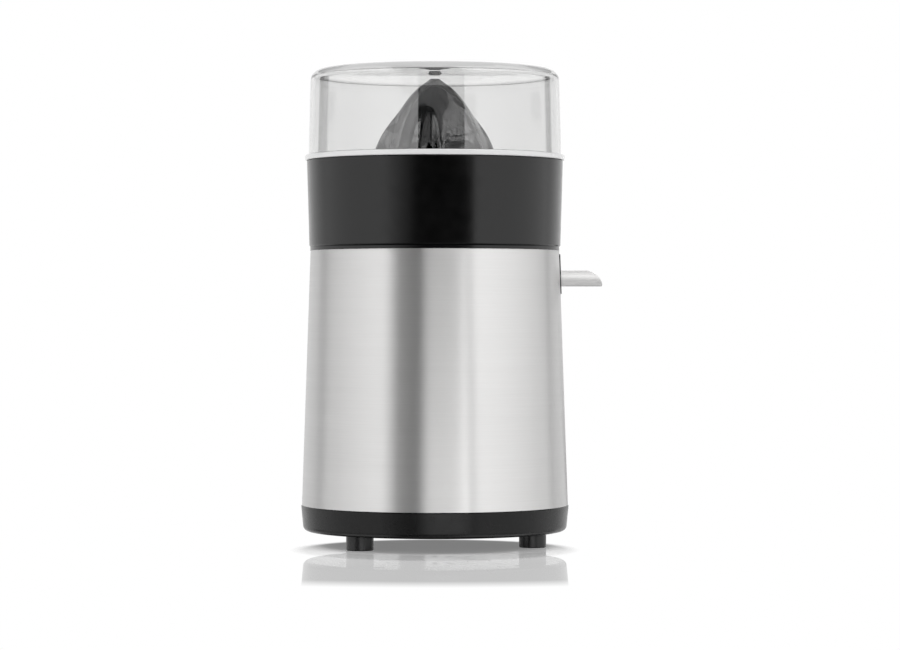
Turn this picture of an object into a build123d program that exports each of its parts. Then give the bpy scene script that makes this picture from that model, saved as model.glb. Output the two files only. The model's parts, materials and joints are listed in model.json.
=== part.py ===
from build123d import *
from math import acos, cos, pi, radians, sin, sqrt, tan
import os

# A motor-driven citrus press. Lengths are in millimetres and angles in degrees.
# The origin lies on the spin axis at table level, +Z is up and the spout points along +X.

# Clearances
overrun = 1.0             # how far a cut runs past the face that it opens
running_gap = 0.05        # radial gap of a shaft in its bush
slip_gap = 0.4            # gap round a piece that lifts off or is dropped in
screw_gap = 0.1           # radial gap round a screw's shank
axial_gap = 0.3           # end gap of a turning piece
mesh_backlash = 0.2       # arc that a gear tooth is thinner than half its pitch

# Feet
foot_radius = 7.4
foot_height = 8.2
foot_edge = 0.4
foot_stem_radius = 3.0
foot_stem_tail = 1.5
foot_inset = 16.6         # from the base's lower edge to a foot's middle
foot_count = 3
foot_turn = -26.6

# Base tray
base_height = 14.1
base_proud = 0.4
base_draft = 1.3
base_edge_round = 3.0
base_lip = 0.5
base_floor = 2.6
base_spigot_height = 4.0
base_spigot_wall = 2.0
base_boss_radius = 6.5
base_boss_height = 8.0
base_boss_web = 3.0
vent_count = 18
vent_width = 2.4
vent_inner_radius = 16.0
vent_outer_radius = 31.0

# Screws
base_screw_radius = 1.75
base_screw_head_radius = 3.4
base_screw_head_height = 2.2
base_screw_reach = 12.0
plate_screw_radius = 2.0
plate_screw_head_radius = 3.6
plate_screw_head_height = 2.4
plate_screw_reach_share = 0.6     # of the deck boss that it is driven into
motor_screw_radius = 1.75
motor_screw_head_radius = 3.2
motor_screw_head_height = 2.2
motor_screw_reach = 10.0

# Cord gland
gland_radius = 4.2
gland_bore_radius = 3.2
gland_flange_radius = 5.4
gland_flange_height = 1.6
gland_tail = 6.0
gland_seat_depth = 1.3
gland_lift = 0.6

# Steel jacket
jacket_height = 139.2
jacket_bottom_radius = 72.9
jacket_top_radius = 68.2
jacket_sheet = 0.8
notch_below_spout = 7.6
notch_corner = 6.0
notch_mouth_round = 2.5

# Housing deck
deck_ring_height = 2.2
deck_ring_proud = 0.2
deck_ring_width = 6.5
deck_thickness = 3.0
deck_skirt_depth = 8.0
deck_skirt_wall = 2.0
tower_height = 14.0
tower_gap = 1.0
tower_wall = 2.0
column_radius = 4.5
column_angles = (50, 130, 230, 310)
pocket_wall = 2.0
pocket_floor = 2.0
seal_step = 0.6
seal_height = 4.0

# Juice bowl
bowl_height = 47.2
bowl_proud = 0.45
bowl_flare = 1.35
bowl_wall = 2.2
bowl_floor = 2.2
bowl_floor_rise = 6.3
bowl_floor_tilt = 2.0
bowl_groove = 0.5
bowl_rim_round = 0.6
ledge_drop = 7.0
ledge_width = 2.6
ledge_height = 2.0
chimney_wall = 2.0
chimney_gap = 1.2

# Outlet chute and apron
apron_wall = 3.0
apron_side = 3.4
chute_wall = 3.4
chute_front_wall = 4.6
chute_length = 14.5
chute_fall = 8.0
chute_lip_rise = 2.1
gasket_depth = 1.2
gasket_proud = 0.5
gasket_border = 3.2

# Spout
spout_width = 22.0
spout_depth = 8.6
spout_sheet = 0.8
spout_overhang = 24.9
spout_root_depth = 7.3
spout_drop = 10.9
spout_nose_length = 10.2
spout_nose_bulge = 1.6
spout_side_gap = 0.6
spout_sill_gap = 0.3
spout_root_room = 1.0
spout_swing_room = 5.7
spout_pin_setback = 2.2
spout_pin_rise = 4.4
spout_pin_radius = 1.25
spout_pin_inset = 2.4

# Strainer
strainer_rim = 1.8
strainer_sheet = 1.6
strainer_depth = 13.0
strainer_wall_run = 6.0
strainer_sleeve_wall = 1.6
strainer_sleeve_height = 4.4
slot_count = 44
slot_width = 1.6
slot_margin = 2.0

# Cone
cone_height = 57.9
cone_radius = 35.9
cone_rim_drop = 13.0
cone_shoulder_radius = 23.2
cone_shoulder_height = 39.0
cone_tip_flat = 2.5
cone_side_bulge = 2.9
cone_tip_bulge = 1.0
cone_wall = 2.2
cone_rib_pairs = 4        # one long rib and one short rib in each pair
cone_short_rib_turn = -92.0
cone_rib_width = 7.6
cone_rib_edge_share = 0.2     # how high a rib's foot stands in the flute's depth
cone_flute_depth = 3.2
cone_flute_top = 51.5     # where the flutes run out, above the cone's bottom
cone_flute_fade = 14.0    # length over which they run out
cone_short_rib_top = 41.0
cone_short_rib_fade = 16.0
cone_section_shares = (0, 0.2, 0.38, 0.52, 0.62, 0.7, 0.78, 0.89, 0.95, 1)
cone_hub_radius = 8.0
cone_socket_gap = 0.15

# Lid
lid_head_room = 2.7
lid_dome = 0.6
lid_inset = 0.9
lid_draft = 1.3
lid_wall = 2.0
lid_corner = 6.0
lid_flange_proud = 1.0
lid_flange_height = 2.9
lid_flange_round = 0.8
lid_lip_depth = 4.0
lid_lip_wall = 1.8

# Gears
pressure_angle = 25.0
addendum_share = 0.8
dedendum_share = 1.0
flank_shares = (0, 0.5, 1)
first_module = 0.8
motor_pinion_teeth = 12
idler_wheel_teeth = 68
idler_pinion_teeth = 12
output_teeth = 52
idler_wheel_width = 7.0
motor_pinion_overlap = 1.0
output_width = 8.0
output_hub_radius = 9.0
gear_pin_radius = 1.2

# Gearbox plates
plate_margin = 0.5
upper_plate = 4.0
middle_plate = 3.0
lower_plate = 3.0
deck_boss_share = 0.565       # of the free height between the base and the deck
middle_post_length = 28.0
lower_post_length = 14.0
post_radius = 4.5
post_clear = 4.7
post_angles = (0, 120, 240)
idler_axle_radius = 2.5
idler_boss_radius = 5.0
idler_boss_height = 2.0
idler_hole_gap = 1.2
motor_boss_radius = 4.5
motor_boss_length = 14.0
plate_lug_margin = 6.0

# Drive shaft, collar and switch
shaft_radius = 5.0
shaft_hex_relief = 0.15
shaft_hex_length = 19.0
shaft_tail = 14.0
pilot_radius = 2.0
pilot_depth = 8.0
pilot_end_gap = 4.0
bush_wall = 2.0
bush_flange = 1.5
bush_flange_height = 1.0
collar_wall = 2.0
collar_flat_wall = 1.15
collar_flange_margin = 2.0
collar_flange = 2.0
collar_tail = 3.5
collar_rise = 12.0
collar_arm_width = 8.0
press_travel = 2.0
spring_gap = 1.35
spring_wire_radius = 0.8
spring_turns = 4
spring_end_gap = 0.1
switch_y = 24.0
switch_length = 20.0
switch_width = 6.5
switch_height = 9.0
plunger_radius = 1.4
plunger_sunk = 3.0
terminal_length = 6.0
terminal_width = 4.8
terminal_sheet = 0.8
terminal_rise = 2.0

# Motor
stator_stack = 28.0
stator_leg_width = 14.0
stator_leg_gap = 22.0
stator_pole_tip = 3.5
stator_leg_length = 51.0
stator_yoke = 14.0
stator_pole_depth = 2.5
rotor_gap = 0.9
rotor_overhang = 1.0
motor_shaft_radius = 2.5
motor_shaft_tail = 9.0
motor_bush_wall = 2.0
motor_bush_length = 7.0
bracket_plate = 3.0
bracket_spacer = 7.0
bracket_margin = 4.4
bobbin_wall = 1.0
bobbin_flange = 1.5
bobbin_gap = 0.2
coil_half_space = 1.8
winding_clear = 1.0
coil_front_gap = 2.0
washer_height = 1.0
washer_rim = 2.0

# Radii, each from the piece that it fits
base_top_radius = jacket_bottom_radius + base_proud
base_low_radius = base_top_radius - base_draft
gland_seat_y = base_top_radius - gland_seat_depth
deck_ring_radius = jacket_top_radius + deck_ring_proud
jacket_slope = (jacket_bottom_radius - jacket_top_radius) / jacket_height
jacket_skirt_radius = jacket_top_radius + min(0, jacket_slope) * deck_skirt_depth
deck_skirt_radius = jacket_skirt_radius - jacket_sheet - slip_gap
base_spigot_radius = jacket_bottom_radius - jacket_sheet - slip_gap
base_inner_radius = base_spigot_radius - base_spigot_wall
column_circle_radius = min(
    deck_skirt_radius - deck_skirt_wall - column_radius - slip_gap,
    base_inner_radius - base_boss_radius,
)
bowl_bottom_radius = deck_ring_radius + bowl_proud
bowl_top_radius = bowl_bottom_radius + bowl_flare
lid_flange_radius = bowl_top_radius + lid_flange_proud
lid_bottom_radius = bowl_top_radius - lid_inset
lid_top_radius = lid_bottom_radius - lid_draft
tower_bore_radius = shaft_radius + tower_gap
tower_radius = tower_bore_radius + tower_wall
seal_radius = tower_bore_radius + seal_step
chimney_bore = tower_radius + slip_gap
chimney_radius = chimney_bore + chimney_wall
bush_radius = shaft_radius + running_gap + bush_wall
shaft_hex_across = sqrt(3) * (shaft_radius - shaft_hex_relief)
collar_bore = shaft_radius + running_gap
collar_radius = collar_bore + collar_wall
collar_flat = 2 * (collar_bore + collar_flat_wall)
spring_radius = collar_radius + spring_gap + spring_wire_radius
collar_flange_radius = spring_radius + spring_wire_radius + collar_flange_margin
motor_bush_radius = motor_shaft_radius + running_gap + motor_bush_wall

# Gear train: both pairs share one centre distance
centre_distance = (motor_pinion_teeth + idler_wheel_teeth) * first_module / 2
second_module = 2 * centre_distance / (idler_pinion_teeth + output_teeth)
idler_x = -centre_distance
output_tip_radius = (output_teeth / 2 + addendum_share) * second_module
post_circle_radius = output_tip_radius + post_clear + post_radius
plate_radius = post_circle_radius + post_radius + plate_margin

# Motor places
stator_bore_radius = stator_leg_gap / 2 + stator_pole_depth
rotor_radius = stator_bore_radius - rotor_gap
leg_middle_x = (stator_leg_gap + stator_leg_width) / 2
stator_outer_x = stator_leg_gap / 2 + stator_leg_width
stator_front_y = stator_bore_radius + stator_pole_tip
stator_hole_y = stator_front_y - stator_leg_width / 2
stator_back_y = stator_front_y - stator_leg_length
yoke_hole_y = stator_back_y - stator_yoke / 2
coil_back_y = stator_back_y + bobbin_gap
coil_front_y = -stator_bore_radius - coil_front_gap
winding_depth = stator_leg_gap / 2 - bobbin_gap - bobbin_wall - coil_half_space

# Levels, from the table up
base_bottom = foot_height
base_top = base_bottom + base_height
jacket_top = base_top + jacket_height
deck_top = jacket_top + deck_ring_height
bowl_top = deck_top + bowl_height
lid_top = bowl_top + cone_height - cone_rim_drop + lid_head_room + lid_wall
column_foot = base_bottom + base_boss_height
gland_z = (base_bottom + base_top) / 2 + gland_lift
deck_bottom = jacket_top - deck_thickness
tower_top = jacket_top + tower_height
ledge_top = bowl_top - ledge_drop
floor_middle = deck_top + bowl_floor_rise
cone_bottom = bowl_top - cone_rim_drop
cone_tip = cone_bottom + cone_height
chimney_top = cone_bottom - press_travel - chimney_gap

# Levels of the gear train, from the deck down
gearbox_height = upper_plate + middle_post_length + middle_plate + lower_post_length + lower_plate
motor_height = motor_boss_length + stator_stack + bracket_spacer + bracket_plate + motor_shaft_tail
free_height = deck_bottom - base_bottom - base_floor - gearbox_height - motor_height
deck_boss_length = deck_boss_share * free_height
plate_screw_reach = plate_screw_reach_share * deck_boss_length
upper_top = deck_bottom - deck_boss_length
upper_bottom = upper_top - upper_plate
middle_top = upper_bottom - middle_post_length
middle_bottom = middle_top - middle_plate
lower_top = middle_bottom - lower_post_length
lower_bottom = lower_top - lower_plate
collar_flange_bottom = middle_top + collar_rise
collar_top = collar_flange_bottom + collar_flange
collar_bottom = middle_top - collar_tail
output_bottom = collar_top + axial_gap
output_hub_top = upper_bottom - bush_flange_height - axial_gap
idler_bottom = lower_top + idler_boss_height + axial_gap
idler_wheel_top = idler_bottom + idler_wheel_width
idler_top = upper_bottom - axial_gap
stator_top = lower_bottom - motor_boss_length
stator_bottom = stator_top - stator_stack
bracket_top = stator_bottom - bracket_spacer
bracket_bottom = bracket_top - bracket_plate

# Drive shaft levels
shaft_hex_bottom = cone_bottom - overrun
shaft_top = shaft_hex_bottom + shaft_hex_length
shaft_bottom = collar_flange_bottom - shaft_tail
pilot_top = shaft_bottom + pilot_depth

# Spout and outlet places
spout_rim = jacket_top - spout_drop
spout_bottom = spout_rim - spout_depth
spout_curve = ((spout_width / 2) ** 2 + spout_depth ** 2) / (2 * spout_depth)
spout_axis_z = spout_bottom + spout_curve
spout_face_x = jacket_top_radius + jacket_slope * spout_drop
spout_reach = spout_face_x + spout_overhang
spout_root_x = spout_face_x - spout_root_depth
spout_pin_x = spout_root_x + spout_pin_setback
spout_pin_z = spout_bottom + spout_pin_rise
window_half = spout_width / 2 + spout_side_gap
window_bottom = spout_bottom - spout_root_room
window_top = spout_rim + spout_swing_room
chute_front_x = spout_face_x - chute_front_wall
chute_back_x = chute_front_x - chute_length
chute_half = window_half + chute_wall
notch_half = chute_half + apron_side
notch_bottom = spout_bottom - notch_below_spout
apron_half = notch_half - slip_gap
chute_bottom = notch_bottom + slip_gap
pocket_half = chute_half + slip_gap
pocket_back_x = chute_back_x - chute_wall - slip_gap


def polar(radius, angle):
    return radius * cos(radians(angle)), radius * sin(radians(angle))


foot_circle_radius = base_low_radius - foot_inset
foot_places = [polar(foot_circle_radius, foot_turn + 360 * index / foot_count) for index in range(foot_count)]
column_places = [polar(column_circle_radius, angle) for angle in column_angles]
post_places = [polar(post_circle_radius, angle) for angle in post_angles]
leg_holes = [(side * leg_middle_x, stator_hole_y) for side in (-1, 1)]
yoke_holes = [(side * leg_middle_x, yoke_hole_y) for side in (-1, 1)]


# Shapes that many pieces use
def disc(radius, bottom, top, place=(0, 0)):
    return Pos(*place, bottom) * extrude(Circle(radius), top - bottom)


def tube(outer, inner, bottom, top, place=(0, 0)):
    return Pos(*place, bottom) * extrude(Circle(outer) - Circle(inner), top - bottom)


def slab(low, high):
    size = [top - bottom for bottom, top in zip(low, high)]
    return Pos(*low) * Box(*size, align=(Align.MIN, Align.MIN, Align.MIN))


def outline(*points):
    return make_face(Polyline(*points, close=True))


def softened(face, *corners):
    """Round named corners of a flat outline."""
    for point, radius in corners:
        face = fillet(face.vertices().sort_by_distance(point)[0], radius)
    return face


def turned(face):
    """Turn an outline of (radius, height) points about the spin axis."""
    return revolve(Plane.XZ * face, Axis.Z)


def side_prism(face, half_width):
    """Push an outline of (x, z) points out to both sides of the spout's middle plane."""
    return extrude(Plane.XZ * face, half_width, both=True)


def rod_x(radius, start, end, height):
    return Pos(start, 0, height) * Rot(0, 90, 0) * extrude(Circle(radius), end - start)


def rod_y(radius, start, end, x, height):
    return Pos(x, start, height) * Rot(-90, 0, 0) * extrude(Circle(radius), end - start)


def together(pieces):
    return Part() + list(pieces)


def jacket_radius(height):
    """Outer radius of the steel jacket at a height."""
    return jacket_top_radius + jacket_slope * (jacket_top - height)


def bowl_radius(height):
    """Outer radius of the bowl at a height."""
    share = (height - deck_top) / bowl_height
    return bowl_bottom_radius + share * (bowl_top_radius - bowl_bottom_radius)


def jacket_cone(inset, bottom, top):
    """A solid whose side runs parallel to the jacket, that far inside its outer face."""
    low = jacket_radius(bottom) - inset
    high = jacket_radius(top) - inset
    return turned(outline((0, bottom), (low, bottom), (high, top), (0, top)))


# Base and what is fixed to it
def base():
    spigot_top = base_top + base_spigot_height
    floor_top = base_bottom + base_floor
    wall = outline(
        (0, base_bottom),
        (base_low_radius, base_bottom),
        (base_top_radius, base_top - base_lip),
        (base_top_radius - base_lip, base_top),
        (base_spigot_radius, base_top),
        (base_spigot_radius, spigot_top),
        (base_inner_radius, spigot_top),
        (base_inner_radius, floor_top),
        (0, floor_top),
    )
    tray = turned(softened(wall, ((base_low_radius, base_bottom), base_edge_round)))
    recess_top = column_foot - base_boss_web
    for place in column_places:
        tray += disc(base_boss_radius, base_bottom, column_foot, place)
        tray -= disc(base_screw_head_radius + screw_gap, base_bottom - overrun, recess_top, place)
        tray -= disc(base_screw_radius + screw_gap, base_bottom - overrun, column_foot + overrun, place)
    for place in foot_places:
        tray -= disc(foot_stem_radius + screw_gap, base_bottom - overrun, floor_top + overrun, place)
    vent = slab(
        (vent_inner_radius, -vent_width / 2, base_bottom - overrun),
        (vent_outer_radius, vent_width / 2, floor_top + overrun),
    )
    tray -= [Rot(0, 0, 360 * index / vent_count) * vent for index in range(vent_count)]
    outside = base_top_radius + overrun
    tray -= rod_y(gland_radius + screw_gap, base_inner_radius - overrun, outside, 0, gland_z)
    return tray - rod_y(gland_flange_radius + screw_gap, gland_seat_y, outside, 0, gland_z)


def feet():
    stem_top = base_bottom + base_floor + foot_stem_tail
    edge = outline(
        (0, 0),
        (foot_radius - foot_edge, 0),
        (foot_radius, foot_edge),
        (foot_radius, foot_height),
        (foot_stem_radius, foot_height),
        (foot_stem_radius, stem_top),
        (0, stem_top),
    )
    foot = turned(edge)
    return together(Pos(*place, 0) * foot for place in foot_places)


def base_screws():
    head_top = column_foot - base_boss_web
    screws = []
    for place in column_places:
        head = disc(base_screw_head_radius, head_top - base_screw_head_height, head_top, place)
        screws.append(head + disc(base_screw_radius, head_top, column_foot + base_screw_reach, place))
    return together(screws)


def cord_gland():
    tail_y = gland_seat_y - gland_tail
    mouth_y = gland_seat_y + gland_flange_height
    body = rod_y(gland_radius, tail_y, gland_seat_y, 0, gland_z)
    body += rod_y(gland_flange_radius, gland_seat_y, mouth_y, 0, gland_z)
    return body - rod_y(gland_bore_radius, tail_y - overrun, mouth_y + overrun, 0, gland_z)


def jacket():
    sheet = outline(
        (jacket_bottom_radius, base_top),
        (jacket_top_radius, jacket_top),
        (jacket_top_radius - jacket_sheet, jacket_top),
        (jacket_bottom_radius - jacket_sheet, base_top),
    )
    half = notch_half
    mouth = half + notch_mouth_round
    notch = outline(
        (-mouth, jacket_top + overrun),
        (-mouth, jacket_top),
        (-half, jacket_top),
        (-half, notch_bottom),
        (half, notch_bottom),
        (half, jacket_top),
        (mouth, jacket_top),
        (mouth, jacket_top + overrun),
    )
    for side in (-half, half):
        notch = softened(notch, ((side, notch_bottom), notch_corner))
        notch = softened(notch, ((side, jacket_top), notch_mouth_round / 2))
    reach = max(jacket_bottom_radius, jacket_top_radius) + overrun
    return turned(sheet) - extrude(Plane.YZ * notch, reach)


# Deck that closes the housing
def deck_shell():
    skirt_bottom = jacket_top - deck_skirt_depth
    shell = disc(deck_skirt_radius, deck_bottom, jacket_top)
    skirt = tube(deck_skirt_radius, deck_skirt_radius - deck_skirt_wall, skirt_bottom, jacket_top)
    slot_half = notch_half + notch_mouth_round
    shell += skirt - slab((0, -slot_half, skirt_bottom), (deck_skirt_radius, slot_half, deck_bottom))
    shell += tube(deck_ring_radius, deck_ring_radius - deck_ring_width, jacket_top, deck_top)
    shell += disc(tower_radius, deck_bottom, tower_top)
    shell -= disc(tower_bore_radius, deck_bottom - overrun, tower_top + overrun)
    shell -= disc(seal_radius, tower_top - seal_height, tower_top + overrun)
    return shell


def deck_pocket():
    """Well that the bowl's chute drops into, cut short of the apron."""
    outer = pocket_half + pocket_wall
    floor_top = chute_bottom - slip_gap
    low = (pocket_back_x - pocket_wall, -outer, floor_top - pocket_floor)
    well = slab(low, (deck_ring_radius, outer, deck_bottom))
    well -= slab((pocket_back_x, -pocket_half, floor_top), (deck_ring_radius, pocket_half, deck_bottom))
    return well & jacket_cone(apron_wall + slip_gap, low[2], deck_bottom)


def deck():
    body = deck_shell()
    skirt_bottom = jacket_top - deck_skirt_depth
    body -= slab(
        (pocket_back_x, -pocket_half, skirt_bottom - overrun),
        (deck_ring_radius + overrun, pocket_half, deck_top + overrun),
    )
    slot_half = notch_half + notch_mouth_round
    slot = slab(
        (pocket_back_x, -slot_half, skirt_bottom - overrun),
        (deck_ring_radius + overrun, slot_half, deck_top + overrun),
    )
    body -= slot - jacket_cone(apron_wall + slip_gap, skirt_bottom - overrun, deck_top + overrun)
    body += deck_pocket()
    for place in column_places:
        column = disc(column_radius, column_foot, deck_bottom, place)
        pilot_hole = column_foot + base_screw_reach + overrun
        body += column - disc(base_screw_radius + screw_gap, column_foot, pilot_hole, place)
    for place in post_places:
        boss = disc(post_radius, upper_top, deck_bottom, place)
        pilot_hole = upper_top + plate_screw_reach + overrun
        body += boss - disc(plate_screw_radius + screw_gap, upper_top, pilot_hole, place)
    return body


def shaft_seal():
    bottom = tower_top - seal_height
    return tube(seal_radius - running_gap, shaft_radius + 2 * running_gap, bottom, tower_top)


# Gearbox plates
def drilled(plate, bottom, top):
    hole = plate_screw_radius + screw_gap
    return plate - [disc(hole, bottom - overrun, top + overrun, place) for place in post_places]


def gearbox_upper():
    plate = disc(plate_radius, upper_bottom, upper_top)
    plate -= disc(bush_radius + running_gap, upper_bottom - overrun, upper_top + overrun)
    plate -= disc(idler_axle_radius + running_gap, upper_bottom - overrun, upper_top + overrun, (idler_x, 0))
    return drilled(plate, upper_bottom, upper_top)


def collar_section(radius, flat):
    """Round with two flats, which keep the collar from turning."""
    return Circle(radius) & Rectangle(flat, 2 * radius)


def gearbox_middle():
    plate = disc(plate_radius, middle_bottom, middle_top)
    for place in post_places:
        plate += disc(post_radius, middle_top, upper_bottom, place)
    guide = collar_section(collar_radius + running_gap, collar_flat + 2 * running_gap)
    plate -= Pos(0, 0, middle_bottom - overrun) * extrude(guide, middle_plate + 2 * overrun)
    pinion_tip = (idler_pinion_teeth / 2 + addendum_share) * second_module
    hole = pinion_tip + idler_hole_gap
    plate -= disc(hole, middle_bottom - overrun, middle_top + overrun, (idler_x, 0))
    return drilled(plate, middle_bottom, upper_bottom)


def gearbox_lower():
    plate = disc(plate_radius, lower_bottom, lower_top)
    lug_x = leg_middle_x + plate_lug_margin
    plate += slab((-lug_x, yoke_hole_y - plate_lug_margin, lower_bottom), (lug_x, 0, lower_top))
    for place in post_places:
        plate += disc(post_radius, lower_top, middle_bottom, place)
    for place in leg_holes + yoke_holes:
        boss = disc(motor_boss_radius, stator_top, lower_bottom, place)
        plate += boss - disc(motor_screw_radius + screw_gap, stator_top, lower_bottom, place)
    plate += disc(idler_boss_radius, lower_top, lower_top + idler_boss_height, (idler_x, 0))
    axle_hole = idler_axle_radius + running_gap
    plate -= disc(axle_hole, lower_bottom - overrun, lower_top + idler_boss_height + overrun, (idler_x, 0))
    plate += disc(motor_bush_radius + bush_wall, lower_top - motor_bush_length, lower_top)
    plate -= disc(motor_bush_radius + running_gap, stator_top, lower_top + overrun)
    return drilled(plate, lower_bottom - plate_screw_reach, middle_bottom)


def gearbox_screws():
    screws = []
    for place in post_places:
        head = disc(plate_screw_head_radius, lower_bottom - plate_screw_head_height, lower_bottom, place)
        screws.append(head + disc(plate_screw_radius, lower_bottom, upper_top + plate_screw_reach, place))
    return together(screws)


def drive_bush():
    bore = shaft_radius + running_gap
    sleeve = tube(bush_radius, bore, upper_bottom, upper_top)
    return sleeve + tube(bush_radius + bush_flange, bore, upper_bottom - bush_flange_height, upper_bottom)


# Gears
def involute(base_radius, radius):
    """Angle in radians that an involute has turned by at a radius."""
    slope = acos(min(1, base_radius / radius))
    return tan(slope) - slope


def gear_outline(module, teeth, turn):
    """Spur gear with one tooth centred on the direction given by turn."""
    pitch_radius = module * teeth / 2
    base_radius = pitch_radius * cos(radians(pressure_angle))
    tip_radius = pitch_radius + addendum_share * module
    root_radius = pitch_radius - dedendum_share * module
    flank_start = max(base_radius, root_radius)
    radii = {root_radius} | {flank_start + share * (tip_radius - flank_start) for share in flank_shares}
    thickness = pi * module / 2 - mesh_backlash
    half_tooth = thickness / (2 * pitch_radius) + involute(base_radius, pitch_radius)
    flank = [(radius, (half_tooth - involute(base_radius, radius)) * 180 / pi) for radius in sorted(radii)]
    points = []
    for tooth in range(teeth):
        middle = turn + 360 * tooth / teeth
        points += [polar(radius, middle - half) for radius, half in flank]
        points += [polar(radius, middle + half) for radius, half in reversed(flank)]
    return outline(*points)


def gear(module, teeth, turn, bottom, top):
    return Pos(0, 0, bottom) * extrude(gear_outline(module, teeth, turn), top - bottom)


def motor_pinion():
    bottom = idler_bottom - motor_pinion_overlap
    top = idler_wheel_top + motor_pinion_overlap
    return gear(first_module, motor_pinion_teeth, 180, bottom, top) - disc(motor_shaft_radius, bottom, top)


def idler_gear():
    wheel = gear(first_module, idler_wheel_teeth, 180 / idler_wheel_teeth, idler_bottom, idler_wheel_top)
    wheel += gear(second_module, idler_pinion_teeth, 0, idler_wheel_top, idler_top)
    wheel -= disc(idler_axle_radius + running_gap, idler_bottom - overrun, idler_top + overrun)
    return Pos(idler_x, 0, 0) * wheel


def idler_axle():
    return disc(idler_axle_radius, lower_bottom, upper_top, (idler_x, 0))


def output_gear():
    wheel_top = output_bottom + output_width
    wheel = gear(second_module, output_teeth, 180 / output_teeth, output_bottom, wheel_top)
    wheel += disc(output_hub_radius, wheel_top, output_hub_top)
    wheel -= disc(shaft_radius, output_bottom - overrun, output_hub_top + overrun)
    return wheel - gear_pin_hole()


def gear_pin_hole():
    height = (output_bottom + output_width + output_hub_top) / 2
    return rod_y(gear_pin_radius, -output_hub_radius, output_hub_radius, 0, height)


def gear_pin():
    return gear_pin_hole() & disc(output_hub_radius, output_bottom, output_hub_top)


# Drive shaft and the press-to-start parts
def drive_shaft():
    shaft = disc(shaft_radius, shaft_bottom, shaft_hex_bottom)
    hexagon = RegularPolygon(shaft_hex_across / 2, 6, major_radius=False)
    shaft += Pos(0, 0, shaft_hex_bottom) * extrude(hexagon, shaft_hex_length)
    shaft -= disc(pilot_radius + running_gap, shaft_bottom - overrun, pilot_top + pilot_end_gap)
    return shaft - gear_pin_hole()


def press_collar():
    section = collar_section(collar_radius, collar_flat)
    collar = Pos(0, 0, collar_bottom) * extrude(section, collar_flange_bottom - collar_bottom)
    collar += disc(collar_flange_radius, collar_flange_bottom, collar_top)
    arm_end = switch_y + switch_width / 2
    collar += slab(
        (-collar_arm_width / 2, 0, collar_flange_bottom),
        (collar_arm_width / 2, arm_end, collar_top),
    )
    return collar - disc(collar_bore, collar_bottom - overrun, collar_top + overrun)


def helix_point(turn):
    low = middle_top + spring_wire_radius + spring_end_gap
    high = collar_flange_bottom - spring_wire_radius - spring_end_gap
    x, y = polar(spring_radius, 360 * turn)
    return Vector(x, y, low + (high - low) * turn / spring_turns)


def return_spring():
    """Wire wound in quarter turns, each an arc through three points of the helix."""
    quarters = [index / 4 for index in range(4 * spring_turns)]
    arcs = [
        ThreePointArc(helix_point(start), helix_point(start + 1 / 8), helix_point(start + 1 / 4))
        for start in quarters
    ]
    path = Wire([arc.edge() for arc in arcs])
    section = Plane(origin=path @ 0, z_dir=path % 0) * Circle(spring_wire_radius)
    return sweep(section, path=path)


def spring_least_gap():
    """Smallest gap between neighbouring turns, measured on points of the helix."""
    turns = [index / 16 for index in range(16 * (spring_turns - 1))]
    gaps = [
        (helix_point(turn) - helix_point(turn + 1 + step / 64)).length
        for turn in turns
        for step in (-1, 0, 1)
    ]
    return min(gaps) - 2 * spring_wire_radius


def start_switch():
    low = (-switch_length / 2, switch_y - switch_width / 2, middle_top)
    high = (switch_length / 2, switch_y + switch_width / 2, middle_top + switch_height)
    bore_bottom = middle_top + switch_height - plunger_sunk - press_travel - overrun
    return slab(low, high) - disc(plunger_radius + screw_gap, bore_bottom, high[2] + overrun, (0, switch_y))


def switch_plunger():
    bottom = middle_top + switch_height - plunger_sunk
    return disc(plunger_radius, bottom, collar_flange_bottom, (0, switch_y))


def switch_terminals():
    end = switch_length / 2
    blade = slab(
        (end, switch_y - terminal_sheet / 2, middle_top + terminal_rise),
        (end + terminal_length, switch_y + terminal_sheet / 2, middle_top + terminal_rise + terminal_width),
    )
    return together([blade, mirror(blade, Plane.YZ)])


# Motor
def motor_shaft():
    shoulder = idler_wheel_top + motor_pinion_overlap
    shaft = disc(motor_shaft_radius, bracket_bottom - motor_shaft_tail, shoulder)
    return shaft + disc(pilot_radius, shoulder, pilot_top)


def rotor_magnet():
    bottom = stator_bottom - rotor_overhang
    top = stator_top + rotor_overhang
    return tube(rotor_radius, motor_shaft_radius, bottom, top)


def thrust_washer():
    bottom = bracket_top + axial_gap
    return tube(motor_shaft_radius + washer_rim, motor_shaft_radius, bottom, bottom + washer_height)


def motor_bushes():
    bore = motor_shaft_radius + running_gap
    upper = tube(motor_bush_radius, bore, lower_top - motor_bush_length, lower_top)
    lower = tube(motor_bush_radius, bore, bracket_top - motor_bush_length, bracket_top)
    return together([upper, lower])


def stator_core():
    yoke_back_y = stator_back_y - stator_yoke
    core = slab((-stator_outer_x, yoke_back_y, stator_bottom), (stator_outer_x, stator_front_y, stator_top))
    gap = stator_leg_gap / 2
    core -= slab((-gap, stator_back_y, stator_bottom), (gap, stator_front_y, stator_top))
    core -= disc(stator_bore_radius, stator_bottom - overrun, stator_top + overrun)
    for place in leg_holes + yoke_holes:
        core -= disc(motor_screw_radius + screw_gap, stator_bottom - overrun, stator_top + overrun, place)
    return core


def round_leg(side, margin, start_y, end_y):
    """A block round one stator leg, that far from the leg's faces."""
    middle = side * leg_middle_x
    half = stator_leg_width / 2 + margin
    return slab(
        (middle - half, start_y, stator_bottom - margin),
        (middle + half, end_y, stator_top + margin),
    )


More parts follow.
